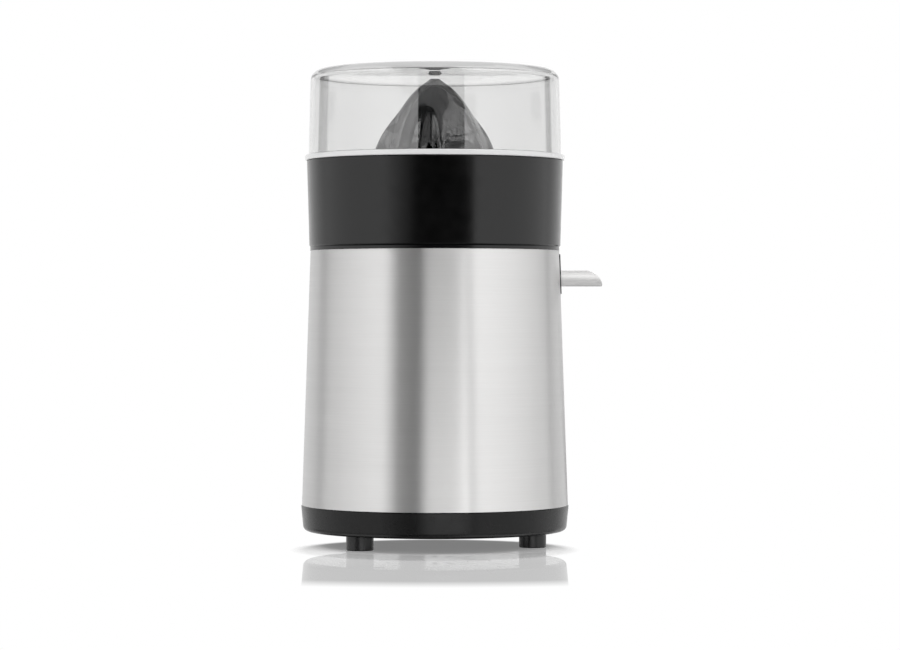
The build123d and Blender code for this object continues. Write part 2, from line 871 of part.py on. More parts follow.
def coil_bobbins():
    back = coil_back_y
    front = coil_front_y
    tube_margin = bobbin_gap + bobbin_wall
    rim_margin = tube_margin + winding_depth
    bobbins = []
    for side in (-1, 1):
        bobbin = round_leg(side, tube_margin, back, front)
        bobbin += round_leg(side, rim_margin, back, back + bobbin_flange)
        bobbin += round_leg(side, rim_margin, front - bobbin_flange, front)
        bobbins.append(bobbin - round_leg(side, bobbin_gap, back - overrun, front + overrun))
    return together(bobbins)


def coil_windings():
    tube_margin = bobbin_gap + bobbin_wall
    full_margin = tube_margin + winding_depth - winding_clear
    start = coil_back_y + bobbin_flange
    end = coil_front_y - bobbin_flange
    windings = []
    for side in (-1, 1):
        block = round_leg(side, full_margin, start, end)
        long_edges = block.edges().filter_by(Axis.Y)
        block = fillet(long_edges, winding_depth / 2)
        windings.append(block - round_leg(side, tube_margin, start - overrun, end + overrun))
    return together(windings)


def motor_bracket():
    back = -motor_bush_radius - bush_wall - bracket_margin
    plate = slab((-stator_outer_x, back, bracket_bottom), (stator_outer_x, stator_front_y, bracket_top))
    for place in leg_holes:
        plate += disc(motor_boss_radius, bracket_top, stator_bottom, place)
        hole = motor_screw_radius + screw_gap
        plate -= disc(hole, bracket_bottom - overrun, stator_bottom + overrun, place)
    bush_bottom = bracket_top - motor_bush_length
    plate += disc(motor_bush_radius + bush_wall, bush_bottom, bracket_top)
    return plate - disc(motor_bush_radius + running_gap, bush_bottom - overrun, bracket_top + overrun)


def motor_screws():
    screws = []
    for places, seat in ((leg_holes, bracket_bottom), (yoke_holes, stator_bottom)):
        for place in places:
            head = disc(motor_screw_head_radius, seat - motor_screw_head_height, seat, place)
            screws.append(head + disc(motor_screw_radius, seat, stator_top + motor_screw_reach, place))
    return together(screws)


# Bowl, strainer and spout
def bowl_cone(inset, bottom, top):
    """A solid whose side runs parallel to the bowl, that far inside its outer face."""
    low = bowl_radius(bottom) - inset
    high = bowl_radius(top) - inset
    return turned(outline((0, bottom), (low, bottom), (high, top), (0, top)))


def bowl_basin():
    inner_bottom = bowl_bottom_radius - bowl_wall
    inner_top = bowl_top_radius - bowl_wall
    wall = outline(
        (inner_bottom, deck_top),
        (bowl_bottom_radius - bowl_groove, deck_top),
        (bowl_bottom_radius, deck_top + bowl_groove),
        (bowl_top_radius, bowl_top),
        (inner_top, bowl_top),
    )
    basin = turned(softened(wall, ((bowl_top_radius, bowl_top), bowl_rim_round)))
    floor = Pos(0, 0, floor_middle) * Rot(0, bowl_floor_tilt, 0)
    floor *= Box(2 * bowl_top_radius, 2 * bowl_top_radius, bowl_floor)
    basin += floor & bowl_cone(bowl_wall / 2, deck_top, bowl_top)
    ledge = bowl_cone(bowl_wall / 2, ledge_top - ledge_height, ledge_top)
    inner = bowl_radius(ledge_top) - bowl_wall - ledge_width
    basin += ledge - disc(inner, ledge_top - ledge_height, ledge_top)
    basin += disc(chimney_radius, floor_middle, chimney_top)
    return basin - disc(chimney_bore, deck_top, chimney_top)


def chute_block():
    back_x = chute_back_x - chute_wall
    block = slab((back_x, -chute_half, chute_bottom), (deck_ring_radius, chute_half, floor_middle))
    plate = outline(
        (-apron_half, floor_middle),
        (-apron_half, chute_bottom),
        (apron_half, chute_bottom),
        (apron_half, floor_middle),
    )
    for side in (-apron_half, apron_half):
        plate = softened(plate, ((side, chute_bottom), notch_corner - slip_gap))
    front = extrude(Plane.YZ * plate, deck_ring_radius + overrun)
    front &= jacket_cone(0, chute_bottom, floor_middle)
    apron = front - jacket_cone(apron_wall, chute_bottom, floor_middle)
    return (block & front) + apron


def chute_channel():
    """Way of the juice from the basin floor to the spout."""
    lip_x = spout_root_x - slip_gap
    lip_z = spout_bottom + spout_sheet + chute_lip_rise
    out_x = deck_ring_radius + 2 * overrun
    above = floor_middle + bowl_floor_rise
    route = outline(
        (chute_back_x, above),
        (chute_back_x, lip_z + chute_fall),
        (lip_x, lip_z),
        (lip_x, window_bottom),
        (out_x, window_bottom),
        (out_x, window_top),
        (chute_front_x, window_top),
        (chute_front_x, above),
    )
    return side_prism(route, window_half)


def gasket_frame(proud):
    """Frame round the spout's window, let into the apron and that far proud of it."""
    low = window_bottom - gasket_border
    high = window_top + gasket_border
    half = window_half + gasket_border
    frame = slab((0, -half, low), (deck_ring_radius + 2 * overrun, half, high))
    return (frame & jacket_cone(-proud, low, high)) - jacket_cone(gasket_depth, low, high)


def spout_pins(radius):
    start = window_half - spout_pin_inset - overrun
    pin = rod_y(radius, start, chute_half - overrun, spout_pin_x, spout_pin_z)
    return together([pin, mirror(pin, Plane.XZ)])


def juice_bowl():
    body = bowl_basin() + chute_block()
    body -= chute_channel()
    body -= gasket_frame(overrun)
    return body - spout_pins(spout_pin_radius + running_gap)


def outlet_gasket():
    sill = spout_bottom - spout_sill_gap
    mouth = slab(
        (0, -window_half, sill),
        (deck_ring_radius + 2 * overrun, window_half, window_top),
    )
    return gasket_frame(gasket_proud) - mouth


def spout():
    trough = rod_x(spout_curve, spout_root_x, spout_reach, spout_axis_z)
    trough -= rod_x(spout_curve - spout_sheet, spout_root_x - overrun, spout_reach + overrun, spout_axis_z)
    nose_x = spout_reach - spout_nose_length
    below = spout_bottom - overrun
    rim = Polyline(
        (spout_reach, spout_bottom),
        (spout_reach, below),
        (spout_root_x, below),
        (spout_root_x, spout_rim),
        (nose_x, spout_rim),
    )
    nose = SagittaArc((nose_x, spout_rim), (spout_reach, spout_bottom), spout_nose_bulge)
    side = make_face([rim, nose])
    return (trough & side_prism(side, spout_width)) - spout_pins(spout_pin_radius + running_gap)


def spout_pin():
    return spout_pins(spout_pin_radius)


def strainer():
    rim_top = ledge_top + strainer_rim
    rim_radius = bowl_radius(ledge_top) - bowl_wall - slip_gap
    ledge_inner = bowl_radius(ledge_top) - bowl_wall - ledge_width
    wall_top = ledge_inner - slip_gap - strainer_sheet
    floor_radius = wall_top - strainer_wall_run
    floor_bottom = ledge_top - strainer_depth
    floor_top = floor_bottom + strainer_sheet
    sleeve_bore = chimney_radius + slip_gap
    sleeve_radius = sleeve_bore + strainer_sleeve_wall
    sleeve_top = floor_top + strainer_sleeve_height
    dish = outline(
        (sleeve_bore, floor_bottom),
        (floor_radius, floor_bottom),
        (wall_top + strainer_sheet, ledge_top),
        (rim_radius, ledge_top),
        (rim_radius, rim_top),
        (wall_top - strainer_sheet / 2, rim_top),
        (floor_radius - strainer_sheet, floor_top),
        (sleeve_radius, floor_top),
        (sleeve_radius, sleeve_top),
        (sleeve_bore, sleeve_top),
    )
    basket = turned(dish)
    slot = slab(
        (cone_radius + slot_margin, -slot_width / 2, floor_bottom - overrun),
        (floor_radius - strainer_sheet - slot_margin, slot_width / 2, floor_top + overrun),
    )
    return basket - [Rot(0, 0, 360 * index / slot_count) * slot for index in range(slot_count)]


# Cone
def arc_radius(low, high, bulge, height):
    """Radius at a height of an outward arc from low up to high, both given as (radius, height)."""
    run = low[0] - high[0]
    rise = high[1] - low[1]
    chord = sqrt(run ** 2 + rise ** 2)
    curve = (chord ** 2 / 4 + bulge ** 2) / (2 * bulge)
    centre_radius = (low[0] + high[0]) / 2 - (curve - bulge) * rise / chord
    centre_height = (low[1] + high[1]) / 2 - (curve - bulge) * run / chord
    return centre_radius + sqrt(curve ** 2 - (height - centre_height) ** 2)


def cone_crest(height):
    """Radius of the long ribs at a height above the cone's bottom."""
    rim = (cone_radius, 0)
    shoulder = (cone_shoulder_radius, cone_shoulder_height)
    tip = (cone_tip_flat, cone_height)
    if height < cone_shoulder_height:
        return arc_radius(rim, shoulder, cone_side_bulge, height)
    return arc_radius(shoulder, tip, cone_tip_bulge, height)


def fading(height, top, length):
    """Share from 1 down to 0 that a form has left on its way up to where it runs out."""
    return max(0, min(1, (top - height) / length))


def cone_section(height):
    """Outline across the cone: a long and a short rib by turns, with a flute between two."""
    crest = cone_crest(height)
    depth = cone_flute_depth * fading(height, cone_flute_top, cone_flute_fade)
    short_depth = depth * fading(height, cone_short_rib_top, cone_short_rib_fade)
    pitch = 180 / cone_rib_pairs
    points = []
    for index in range(2 * cone_rib_pairs):
        rib_depth = depth if index % 2 else short_depth
        half_angle = min(pitch / 3, cone_rib_width / 2 / crest * 180 / pi)
        middle = cone_short_rib_turn + pitch * index
        floor = crest - depth
        foot = floor + rib_depth * cone_rib_edge_share
        points.append(polar(foot, middle - half_angle))
        points.append(polar(floor + rib_depth, middle))
        points.append(polar(foot, middle + half_angle))
        points.append(polar(floor, middle + pitch / 2))
    return Pos(0, 0, cone_bottom + height) * make_face(Spline(*points, periodic=True))


def cone_inside(inset):
    """Plain pointed form, that far inside the ribs."""
    rim = (cone_radius - inset, cone_bottom)
    shoulder = (cone_shoulder_radius - inset, cone_bottom + cone_shoulder_height)
    brow = (cone_tip_flat, cone_tip - inset)
    side = SagittaArc(rim, shoulder, -cone_side_bulge)
    top = SagittaArc(shoulder, brow, -cone_tip_bulge)
    rest = Polyline(brow, (0, cone_tip - inset), (0, cone_bottom), rim)
    return turned(make_face([side, top, rest]))


def cone():
    body = loft([cone_section(share * cone_height) for share in cone_section_shares])
    hub = disc(cone_hub_radius, cone_bottom, cone_tip) & cone_inside(cone_flute_depth)
    body -= cone_inside(cone_flute_depth + cone_wall)
    body += hub
    socket = RegularPolygon(shaft_hex_across / 2 + cone_socket_gap, 6, major_radius=False)
    return body - Pos(0, 0, cone_bottom - overrun) * extrude(socket, shaft_top - cone_bottom + overrun)


# Lid
def lid():
    flange_top = bowl_top + lid_flange_height
    lip_radius = bowl_top_radius - bowl_wall - slip_gap
    lip_inner = lip_radius - lid_lip_wall
    lip_bottom = bowl_top - lid_lip_depth
    under = lid_top - lid_wall
    outer_corner = (lid_top_radius, lid_top)
    inner_corner = (lid_top_radius - lid_wall, under)
    crown = TangentArc((0, lid_top + lid_dome), outer_corner, tangent=(1, 0))
    side = Polyline(
        outer_corner,
        (lid_bottom_radius, flange_top),
        (lid_flange_radius, flange_top),
        (lid_flange_radius, bowl_top),
        (lip_radius, bowl_top),
        (lip_radius, lip_bottom),
        (lip_inner, lip_bottom),
        (lip_inner, flange_top),
        (lid_bottom_radius - lid_wall, flange_top),
        inner_corner,
    )
    ceiling = TangentArc((0, under + lid_dome), inner_corner, tangent=(1, 0))
    middle = Line((0, under + lid_dome), (0, lid_top + lid_dome))
    shell = make_face([crown, side, ceiling, middle])
    shell = softened(
        shell,
        (outer_corner, lid_corner),
        (inner_corner, lid_corner - lid_wall),
        ((lid_flange_radius, flange_top), lid_flange_round),
        ((lid_flange_radius, bowl_top), lid_flange_round),
    )
    return turned(shell)


pieces = (
    base, feet, base_screws, cord_gland, jacket, deck, shaft_seal,
    gearbox_upper, gearbox_middle, gearbox_lower, gearbox_screws, drive_bush,
    motor_pinion, idler_gear, idler_axle, output_gear, gear_pin,
    drive_shaft, press_collar, return_spring, start_switch, switch_plunger, switch_terminals,
    motor_shaft, rotor_magnet, thrust_washer, motor_bushes, stator_core,
    coil_bobbins, coil_windings, motor_bracket, motor_screws,
    juice_bowl, outlet_gasket, spout, spout_pin, strainer, cone, lid,
)

os.makedirs("parts", exist_ok=True)
for piece in pieces:
    export_step(piece(), f"parts/{piece.__name__}.step")
print("least gap between the spring's turns:", round(spring_least_gap(), 2))
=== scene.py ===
import bpy
import json
from math import cos, pi, radians, sin, tan
from mathutils import Matrix, Vector


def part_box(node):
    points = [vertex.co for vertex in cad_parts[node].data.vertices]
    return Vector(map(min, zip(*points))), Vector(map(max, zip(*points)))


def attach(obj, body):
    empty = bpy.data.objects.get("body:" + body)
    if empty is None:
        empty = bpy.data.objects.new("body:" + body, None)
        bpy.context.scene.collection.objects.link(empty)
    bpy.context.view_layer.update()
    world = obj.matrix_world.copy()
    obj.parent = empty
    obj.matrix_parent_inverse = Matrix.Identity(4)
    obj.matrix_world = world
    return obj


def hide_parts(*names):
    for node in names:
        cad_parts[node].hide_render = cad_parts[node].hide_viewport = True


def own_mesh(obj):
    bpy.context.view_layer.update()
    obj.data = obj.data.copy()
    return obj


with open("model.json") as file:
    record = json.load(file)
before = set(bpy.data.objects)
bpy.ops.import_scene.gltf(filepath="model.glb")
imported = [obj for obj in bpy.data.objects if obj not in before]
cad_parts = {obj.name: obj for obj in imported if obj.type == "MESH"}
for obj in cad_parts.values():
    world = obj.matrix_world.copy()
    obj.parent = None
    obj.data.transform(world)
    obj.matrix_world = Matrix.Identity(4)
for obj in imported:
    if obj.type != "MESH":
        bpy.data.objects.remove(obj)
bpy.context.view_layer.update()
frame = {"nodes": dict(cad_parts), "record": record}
nodes = frame["nodes"]
scene = bpy.context.scene

# Lengths are in metres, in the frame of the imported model: +Z up along the spin axis, +X to the spout.

# Photograph
image_width = 900
image_height = 650
axis_pixel = 434.9
horizon_pixel = 311.0
focal_pixels = 3112.0
sensor_width = 36.0               # in millimetres, as Blender's cameras have it
camera_distance = 1.708
camera_over_base = 0.1202
camera_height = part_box("base")[0].z + camera_over_base
camera_angle = radians(-100)      # direction from the spin axis to the camera

# Lid
lid_low, lid_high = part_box("lid")
lid_flange_radius = lid_high.x
lid_flange_height = 0.0029
lid_flange_proud = 0.0019
lid_flange_round = 0.0008
lid_draft = 0.0013
lid_wall = 0.002
lid_top_wall = 0.0037
lid_inner_corner = 0.0005
lid_corner = 0.006
lid_dome = 0.0006
lid_lip_depth = 0.004
lid_lip_set_in = 0.0017
lid_lip_wall = 0.0018
lid_edge_round = 0.0003
lid_fit = 0.00002
top_ring_shares = (0, 0.3, 0.6, 0.85)
highlight_rise_share = 0.38            # faces of the shoulder that look up more than this get the painted highlight

# Return spring
spring_wire_radius = 0.0008
spring_turns = 4
spring_steps = 40
spring_sides = 16

# Turned shapes
turn_segments = 256
corner_steps = 8
support_share = 0.2               # a ring this far beyond each rounding keeps the flats flat

# Seams: painted shadow lines, thin bands without gloss where two mouldings meet, standing in for the shade of
# a narrow gap
deck_edge = 0.0022
base_depth = 0.0141
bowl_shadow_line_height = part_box("jacket")[1].z + deck_edge
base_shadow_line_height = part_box("base")[0].z + base_depth
shadow_line_width = 0.0004
shadow_line_end_share = 1.4

# Noise and softened edges
noise_low = 0.3
noise_high = 0.7
bevel_samples = 4

# Moulded plastic
black = (0.002, 0.002, 0.0021)
shade_patch = 0.03
gloss_patch = 0.006
fine_grain = 0.0005
medium_grain = 0.0006
coarse_grain = 0.0008
polished_depth = 0.000002
satin_depth = 0.000003
moulded_depth = 0.00001
strainer_depth = 0.000012
eroded_depth = 0.00003
plastic_edge = 0.0003
gear_edge = 0.0001
plastic_shine = 0.32
plastic_tone_share = 0.12
plastic_gloss_spread = 0.03

# Brushed steel of the jacket
brush_tones = ((0.562, 0.558, 0.554), (0.592, 0.588, 0.584))
brush_line = 0.00016
brush_line_stretch = (260, 260, 1)
brush_streak = 0.0012
brush_streak_stretch = (90, 90, 1)
brush_roughness = (0.40, 0.425)
brush_depth = 0.0000004
quarter_turn_share = 0.25

# Other metal
drawn_line = 0.0004
drawn_depth = 0.000003
spout_line = 0.0003
spout_line_depth = 0.000001
zinc_grain = 0.001
metal_edge = 0.0002
metal_tone_share = 0.1
metal_gloss_spread = 0.05

# Rubber
rubber_tones = ((0.010, 0.010, 0.011), (0.022, 0.022, 0.022))
dust_patch = 0.004
rubber_grain = 0.0004
rubber_grain_depth = 0.00002
rubber_edge = 0.0004
rubber_gloss_spread = 0.07

# Clear plastic of the lid, and the painted light on its rim and on its shoulder's edge
clear_tones = ((0.797, 0.797, 0.795), (0.807, 0.807, 0.805))
clear_roughness = (0.006, 0.014)
clear_ior = 1.58
haze_patch = 0.02
rim_painted_light_tones = ((0.94, 0.94, 0.94), (0.97, 0.97, 0.97))
rim_roughness = (0.2, 0.3)
rim_clear_share = 0.1
rim_cloud = 0.01
shoulder_highlight_tones = ((0.94, 0.94, 0.938), (0.96, 0.96, 0.958))
edge_roughness = (0.02, 0.06)
edge_clear_share = 0.3
edge_cloud = 0.012

# Cone
cone_tones = ((0.034, 0.0345, 0.0355), (0.044, 0.0445, 0.0455))
cone_roughness = (0.05, 0.08)
cone_shine = 0.95
cone_flow = 0.012
cone_flow_stretch = (1, 1, 3)
cone_grain = 0.0009
cone_grain_depth = 0.000004

# Motor
sheet_pitch = 0.0007
sheet_line_depth = 0.00008
winding_pitch = 0.0006
winding_line_depth = 0.0002
band_patch = 0.003
band_gloss_spread = 0.06
bronze_speck = 0.0005
ferrite_speck = 0.0006
speck_depth_share = 0.05
speck_gloss_spread = 0.08

# Studio
world_level = 0.62
floor_radius = 2.6
floor_segments = 96
floor_grey = 0.9
floor_mirror = 0.46               # as the camera sees it
floor_gloss = 0.85                # as the object sees it
floor_roughness = 0.08
mirror_start = (0.06, 0.08)       # distances from the spin axis where the mirror image comes and goes
mirror_end = (0.23, 0.265)
shadow_paleness = 0.2
shadow_middle = 0.034             # from the spin axis towards the camera
shadow_start = 0.070
shadow_end = 0.078
mirrored_shadow_end = 0.30
lamp_distance = 1.6

# Cards and panels that glossy surfaces mirror. The camera, its mirror image in the floor and a straight look
# through the lid leave them out. Each has the distances of its lower and its upper edge, degrees right of the
# camera, heights, how bright its left and its right edge are, and the degrees at the top where these differ.
card_steps = 24
wall = (0.9, 0.9)
wall_behind = (0.95, 0.95)
near_wall = (0.35, 0.35)
along_floor = (0.30, 0.9)
cards = {
    "card_front": (wall, (-14.6, 26.0), (0.25, 0.363), (0.0, 0.0)),
    "card_low": (wall, (-16.0, 33.6), (0.0, 0.25), (0.0, 0.0)),
    "card_high": (wall, (-35.5, -10.0), (0.421, 1.0), (0.0, 0.0), (-43.5, -11.7)),
    "card_higher": (wall, (-43.5, -11.7), (1.0, 2.4), (0.0, 0.0), (-83.0, -19.0)),
    "card_left": (wall, (-130.0, -112.5), (0.27, 0.39), (0.0, 0.0)),
    "card_right": (wall, (119.0, 130.0), (0.27, 0.39), (0.0, 0.0)),
    "card_behind": (wall_behind, (-42.0, -10.0), (0.0, 0.421), (0.0, 0.0)),
    "card_floor": (along_floor, (150.0, 190.0), (0.002, 0.002), (0.0, 0.0)),
    "panel_near_graded": (near_wall, (-14.0, -5.0), (0.01, 0.08), (0.0, 3.3)),
    "panel_near": (near_wall, (-5.0, 27.0), (0.01, 0.08), (3.3, 3.3)),
    "panel_front": (wall, (-14.6, 26.0), (0.363, 0.421), (1.8, 1.8)),
    "panel_left_graded": (wall, (-42.0, -16.0), (0.10, 0.25), (1.8, 0.0)),
    "panel_left_mid": (wall, (-42.0, -14.6), (0.29, 0.38), (1.8, 1.8)),
    "panel_left_low": (wall, (-112.0, -42.0), (0.0, 0.365), (1.2, 1.85)),
    "panel_left_dim": (wall, (-112.0, -43.5), (0.365, 0.62), (0.75, 0.75)),
    "panel_left_high": (wall, (-112.0, -43.5), (0.62, 1.8), (1.75, 2.55)),
    "panel_top": (wall, (-10.0, 26.0), (0.421, 1.8), (0.7, 0.8)),
    "panel_right_low": (wall, (33.6, 118.0), (0.0, 0.25), (1.9, 1.3)),
    "panel_right_mid": (wall, (26.0, 118.0), (0.25, 0.365), (1.9, 1.3)),
    "panel_right_dim": (wall, (26.0, 118.0), (0.365, 0.62), (0.75, 0.75)),
    "panel_right_high": (wall, (26.0, 118.0), (0.62, 1.8), (3.1, 2.2)),
    "panel_back": (wall, (168.0, 192.0), (0.10, 0.27), (1.3, 1.3)),
    "card_back_left": (wall, (-158.0, -130.0), (0.55, 1.0), (0.05, 0.05)),
    "card_back_right": (wall, (130.0, 158.0), (0.55, 1.0), (0.05, 0.05)),
}
# Soft lamps: degrees right of the camera to the middle, height of the middle, width, height, power
lamps = {
    "lamp_left": (-62.0, 1.25, 1.30, 1.30, 7.0),
    "lamp_right": (62.0, 1.25, 1.30, 1.30, 7.0),
}


# Node helpers
def put(tree, socket, value):
    """Sets a socket, or links it where the value is another node's output."""
    if isinstance(value, bpy.types.NodeSocket):
        tree.links.new(value, socket)
    else:
        socket.default_value = value


def put_all(tree, node, inputs):
    for name, value in inputs.items():
        put(tree, node.inputs[name], value)


def add(tree, kind, inputs=None, **settings):
    """Adds a node; an input's value is a number, a colour or another node's output."""
    made = tree.nodes.new(kind)
    for name, value in settings.items():
        setattr(made, name, value)
    put_all(tree, made, inputs or {})
    return made


def calculate(tree, operation, *values):
    return add(tree, "ShaderNodeMath", dict(enumerate(values)), operation=operation).outputs[0]


def blend(tree, factor, first, second):
    """The first shader where the factor is 0, the second where it is 1."""
    return add(tree, "ShaderNodeMixShader", {0: factor, 1: first, 2: second}).outputs[0]


def grey(level):
    return (level, level, level, 1)


def object_place(tree):
    return add(tree, "ShaderNodeTexCoord").outputs["Object"]


def along(tree, axis):
    """How far a point lies along one of the frame's axes."""
    return add(tree, "ShaderNodeSeparateXYZ", {"Vector": object_place(tree)}).outputs[axis]


def levels(tree, factor, low, high, start=noise_low, end=noise_high):
    """Low where the factor is at the start, high where it is at the end."""
    inputs = {"Value": factor, "From Min": start, "From Max": end, "To Min": low, "To Max": high}
    return add(tree, "ShaderNodeMapRange", inputs).outputs["Result"]


def noise(tree, size, stretch=(1, 1, 1), detail=2.0):
    """Noise whose grains are about that many metres across, longer where stretch is above 1."""
    scale = [1 / (size * part) for part in stretch]
    moved = add(tree, "ShaderNodeMapping", {"Vector": object_place(tree), "Scale": scale})
    inputs = {"Vector": moved.outputs["Vector"], "Scale": 1.0, "Detail": detail}
    return add(tree, "ShaderNodeTexNoise", inputs).outputs["Fac"]


def bands(tree, size, axis):
    """Even lines across an axis, each that many metres wide."""
    turns = calculate(tree, "MULTIPLY", along(tree, axis), 2 * pi / size)
    return levels(tree, calculate(tree, "SINE", turns), 0, 1, -1, 1)


def shades(tree, factor, dark, light):
    """Dark where the factor is 0, light where it is 1; the mix node's colours go by number."""
    mix = add(tree, "ShaderNodeMix", {"Factor": factor}, data_type="RGBA")
    put(tree, mix.inputs[6], (*dark[:3], 1))
    put(tree, mix.inputs[7], (*light[:3], 1))
    return mix.outputs[2]


def tones(colour, share):
    """A colour made darker and made lighter by that share."""
    dark = [part * (1 - share) for part in colour]
    light = [min(1, part * (1 + share)) for part in colour]
    return dark, light


def spread(middle, reach):
    return middle - reach, middle + reach


def soft_edges(tree, radius):
    return add(tree, "ShaderNodeBevel", {"Radius": radius}, samples=bevel_samples).outputs["Normal"]


def bump(tree, height, depth, normal=None):
    inputs = {"Height": height, "Distance": depth, "Strength": 1.0}
    if normal is not None:
        inputs["Normal"] = normal
    return add(tree, "ShaderNodeBump", inputs).outputs["Normal"]


# Materials
def new_material(name):
    material = bpy.data.materials.new(name)
    material.use_nodes = True
    tree = material.node_tree
    return material, tree, tree.nodes["Principled BSDF"]


def satin_plastic(name, colour, roughness, grain, grain_depth, edge=plastic_edge, shine=plastic_shine):
    """Moulded plastic with a fine eroded grain and slight changes of shade and gloss."""
    material, tree, shader = new_material(name)
    patches = levels(tree, noise(tree, shade_patch), 0, 1)
    gloss = noise(tree, gloss_patch)
    spots = noise(tree, grain, detail=3.0)
    put_all(tree, shader, {
        "Base Color": shades(tree, patches, *tones(colour, plastic_tone_share)),
        "Roughness": levels(tree, gloss, *spread(roughness, plastic_gloss_spread)),
        "Specular IOR Level": shine,
        "Normal": bump(tree, spots, grain_depth, soft_edges(tree, edge)),
    })
    return material


def brushed_jacket():
    """Stainless sheet brushed round the spin axis: long fine lines that spread light up and down."""
    material, tree, shader = new_material("jacket_steel")
    lines = noise(tree, brush_line, brush_line_stretch)
    streaks = noise(tree, brush_streak, brush_streak_stretch)
    put_all(tree, shader, {
        "Base Color": shades(tree, levels(tree, lines, 0, 1), *brush_tones),
        "Metallic": 1.0,
        "Roughness": levels(tree, streaks, *brush_roughness),
        "Anisotropic": 1.0,
        "Anisotropic Rotation": quarter_turn_share,
        "Tangent": add(tree, "ShaderNodeTangent", direction_type="RADIAL", axis="Z").outputs["Tangent"],
        "Normal": bump(tree, lines, brush_depth),
    })
    return material


def worked_steel(name, colour, roughness, stretch, size=drawn_line, depth=drawn_depth):
    """Ground, drawn or plated steel, with lines along its work direction."""
    material, tree, shader = new_material(name)
    lines = noise(tree, size, stretch, detail=3.0)
    put_all(tree, shader, {
        "Base Color": shades(tree, levels(tree, lines, 0, 1), *tones(colour, metal_tone_share)),
        "Metallic": 1.0,
        "Roughness": levels(tree, lines, *spread(roughness, metal_gloss_spread)),
        "Normal": bump(tree, lines, depth, soft_edges(tree, metal_edge)),
    })
    return material


def black_rubber(name, roughness, shine):
    """Rubber with a trace of dust."""
    material, tree, shader = new_material(name)
    dust = noise(tree, dust_patch, detail=4.0)
    grain = noise(tree, rubber_grain)
    put_all(tree, shader, {
        "Base Color": shades(tree, levels(tree, dust, 0, 1), *rubber_tones),
        "Roughness": levels(tree, dust, *spread(roughness, rubber_gloss_spread)),
        "Specular IOR Level": shine,
        "Normal": bump(tree, grain, rubber_grain_depth, soft_edges(tree, rubber_edge)),
    })
    return material


def clear_plastic():
    """Clear moulded plastic with a faint haze of fine wear."""
    material, tree, shader = new_material("clear_plastic")
    haze = noise(tree, haze_patch, detail=4.0)
    put_all(tree, shader, {
        "Base Color": shades(tree, levels(tree, haze, 0, 1), *clear_tones),
        "Transmission Weight": 1.0,
        "IOR": clear_ior,
        "Roughness": levels(tree, haze, *clear_roughness),
    })
    return material


def rim_painted_light():
    """The lid's rim, painted near-opaque milky white: painted light standing in for the light its thick clear
    edge gathers.
    """
    material, tree, shader = new_material("rim_painted_light")
    cloud = noise(tree, rim_cloud, detail=3.0)
    put_all(tree, shader, {
        "Base Color": shades(tree, levels(tree, cloud, 0, 1), *rim_painted_light_tones),
        "Transmission Weight": rim_clear_share,
        "Roughness": levels(tree, cloud, *rim_roughness),
    })
    return material


def shoulder_painted_highlight():
    """Upper edge of the lid's shoulder, painted milky white: a painted highlight standing in for the light
    that the clear corner carries round.
    """
    material, tree, shader = new_material("shoulder_painted_highlight")
    cloud = noise(tree, edge_cloud, detail=3.0)
    put_all(tree, shader, {
        "Base Color": shades(tree, levels(tree, cloud, 0, 1), *shoulder_highlight_tones),
        "Transmission Weight": edge_clear_share,
        "IOR": clear_ior,
        "Roughness": levels(tree, cloud, *edge_roughness),
    })
    return material


def cone_plastic():
    """Smooth dark plastic with faint flow marks up the cone."""
    material, tree, shader = new_material("cone_plastic")
    flow = noise(tree, cone_flow, cone_flow_stretch, detail=3.0)
    grain = noise(tree, cone_grain)
    put_all(tree, shader, {
        "Base Color": shades(tree, levels(tree, flow, 0, 1), *cone_tones),
        "Specular IOR Level": cone_shine,
        "Roughness": levels(tree, flow, *cone_roughness),
        "Normal": bump(tree, grain, cone_grain_depth, soft_edges(tree, plastic_edge)),
    })
    return material


def banded(name, axis, pitch, dark, light, metallic, roughness, depth):
    """Surface of even lines: sheets of a stack or turns of a winding."""
    material, tree, shader = new_material(name)
    lines = bands(tree, pitch, axis)
    patches = noise(tree, band_patch)
    put_all(tree, shader, {
        "Base Color": shades(tree, lines, dark, light),
        "Metallic": metallic,
        "Roughness": levels(tree, patches, *spread(roughness, band_gloss_spread)),
        "Normal": bump(tree, lines, depth),
    })
    return material


def speckled(name, dark, light, metallic, roughness, size):
    """Pressed and fired or sintered surface with fine specks."""
    material, tree, shader = new_material(name)
    specks = noise(tree, size, detail=5.0)
    put_all(tree, shader, {
        "Base Color": shades(tree, levels(tree, specks, 0, 1), dark, light),
        "Metallic": metallic,
        "Roughness": levels(tree, specks, *spread(roughness, speck_gloss_spread)),
        "Normal": bump(tree, specks, size * speck_depth_share, soft_edges(tree, metal_edge)),
    })
    return material


def paint_seam_shadow(material, height):
    """Painted shadow line round the piece: a thin band at that height loses its gloss, so it reads dark like
    the shade in a narrow gap to the next moulding.
    """
    tree = material.node_tree
    apart = calculate(tree, "SUBTRACT", along(tree, "Z"), height)
    away = calculate(tree, "ABSOLUTE", apart)
    gloss = levels(tree, away, 0, 1, shadow_line_width, shadow_line_width * shadow_line_end_share)
    # The painted shadow: a black specular tint takes the gloss away in the band at the seam
    painted_shadow_tint = shades(tree, gloss, grey(0), grey(1))
    put(tree, tree.nodes["Principled BSDF"].inputs["Specular Tint"], painted_shadow_tint)
    return material


